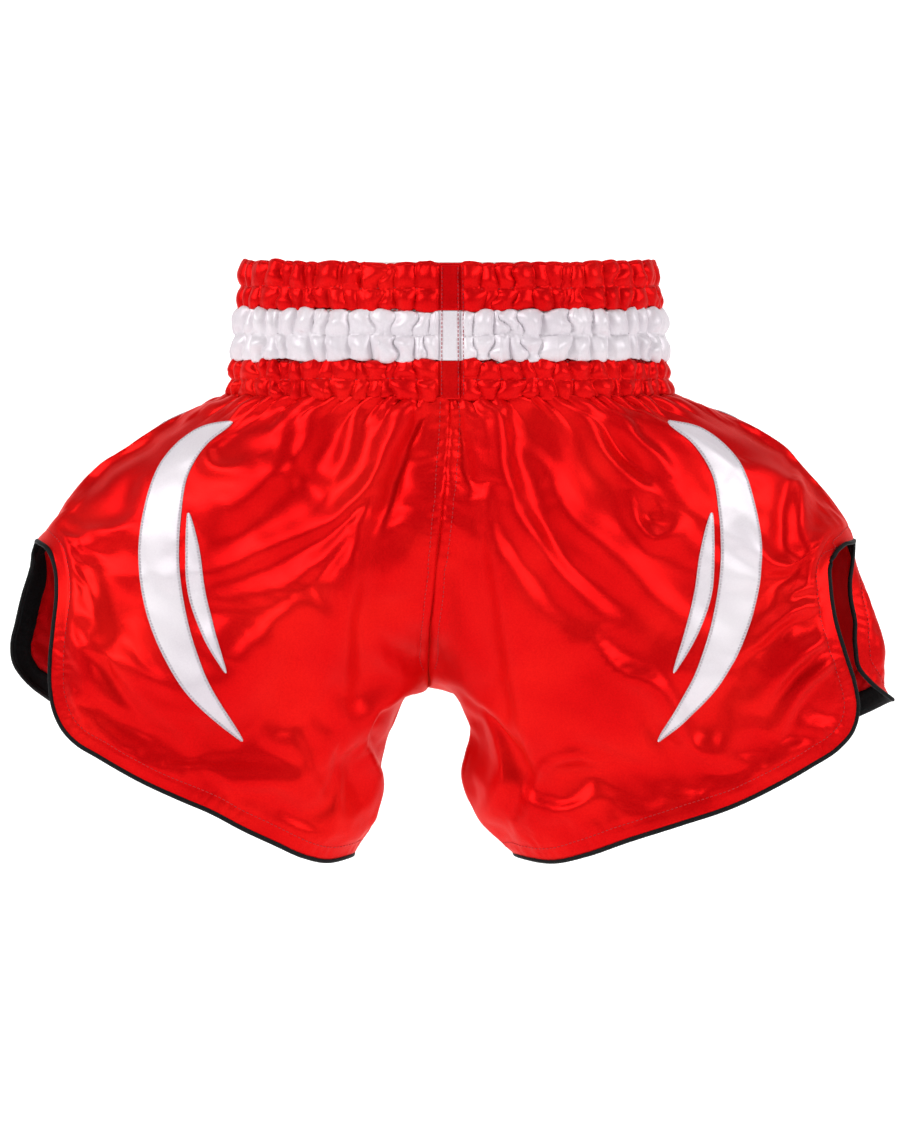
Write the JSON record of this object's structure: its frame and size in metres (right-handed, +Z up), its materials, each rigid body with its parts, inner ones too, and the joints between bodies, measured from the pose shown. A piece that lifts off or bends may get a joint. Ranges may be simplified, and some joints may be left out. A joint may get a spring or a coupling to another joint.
{
  "type": "boxing shorts",
  "caption": "Muay Thai style boxing shorts: gathered elastic waistband, four flared satin panels, open side vents and bound leg openings, shown as worn.",
  "frame": {"origin": "centre of the waist opening, level with the waistband's top edge", "axes": "+Z up, out of the waist opening; -Y the front; +X the wearer's left, across the shorts, their longest side"},
  "size_m": [0.6044, 0.1918, 0.4106],
  "materials": {
    "red_satin": "glossy polyester satin, warp-faced, with soft folds and puckers",
    "white_satin": "glossy white polyester satin",
    "lining_satin": "the dull back of the red satin",
    "black_binding": "narrow black bias binding, slightly shiny",
    "black_facing": "black satin-faced tape",
    "red_thread": "polyester thread",
    "elastic": "woven elastic tape",
    "label": "blank woven label"
  },
  "bodies": {
    "root": {"applique_back_long_left": "white_satin", "applique_back_long_right": "white_satin", "applique_front_long_left": "white_satin", "applique_front_long_right": "white_satin", "applique_front_short_left": "white_satin", "applique_front_short_right": "white_satin", "back_panel_left": "red_satin", "back_panel_right": "red_satin", "binding_back_left": "black_binding", "binding_back_right": "black_binding", "binding_front_left": "black_binding", "binding_front_right": "black_binding", "elastic_1": "elastic", "elastic_2": "elastic", "elastic_3": "elastic", "elastic_4": "elastic", "elastic_5": "elastic", "elastic_6": "elastic", "facing_back_left": "black_facing", "facing_back_right": "black_facing", "facing_front_left": "black_facing", "facing_front_right": "black_facing", "front_panel_left": "red_satin", "front_panel_right": "red_satin", "hem_stitch_back_left": "red_thread", "hem_stitch_back_right": "red_thread", "hem_stitch_front_left": "red_thread", "hem_stitch_front_right": "red_thread", "inside_label": "label", "join_lower": "red_satin", "join_top": "red_satin", "join_white": "white_satin", "seam_stitch_back": "red_thread", "seam_stitch_front": "red_thread", "waistband_lining": "lining_satin", "waistband_lower": "red_satin", "waistband_stitching": "red_thread", "waistband_top": "red_satin", "waistband_white": "white_satin"}
  },
  "joints": []
}
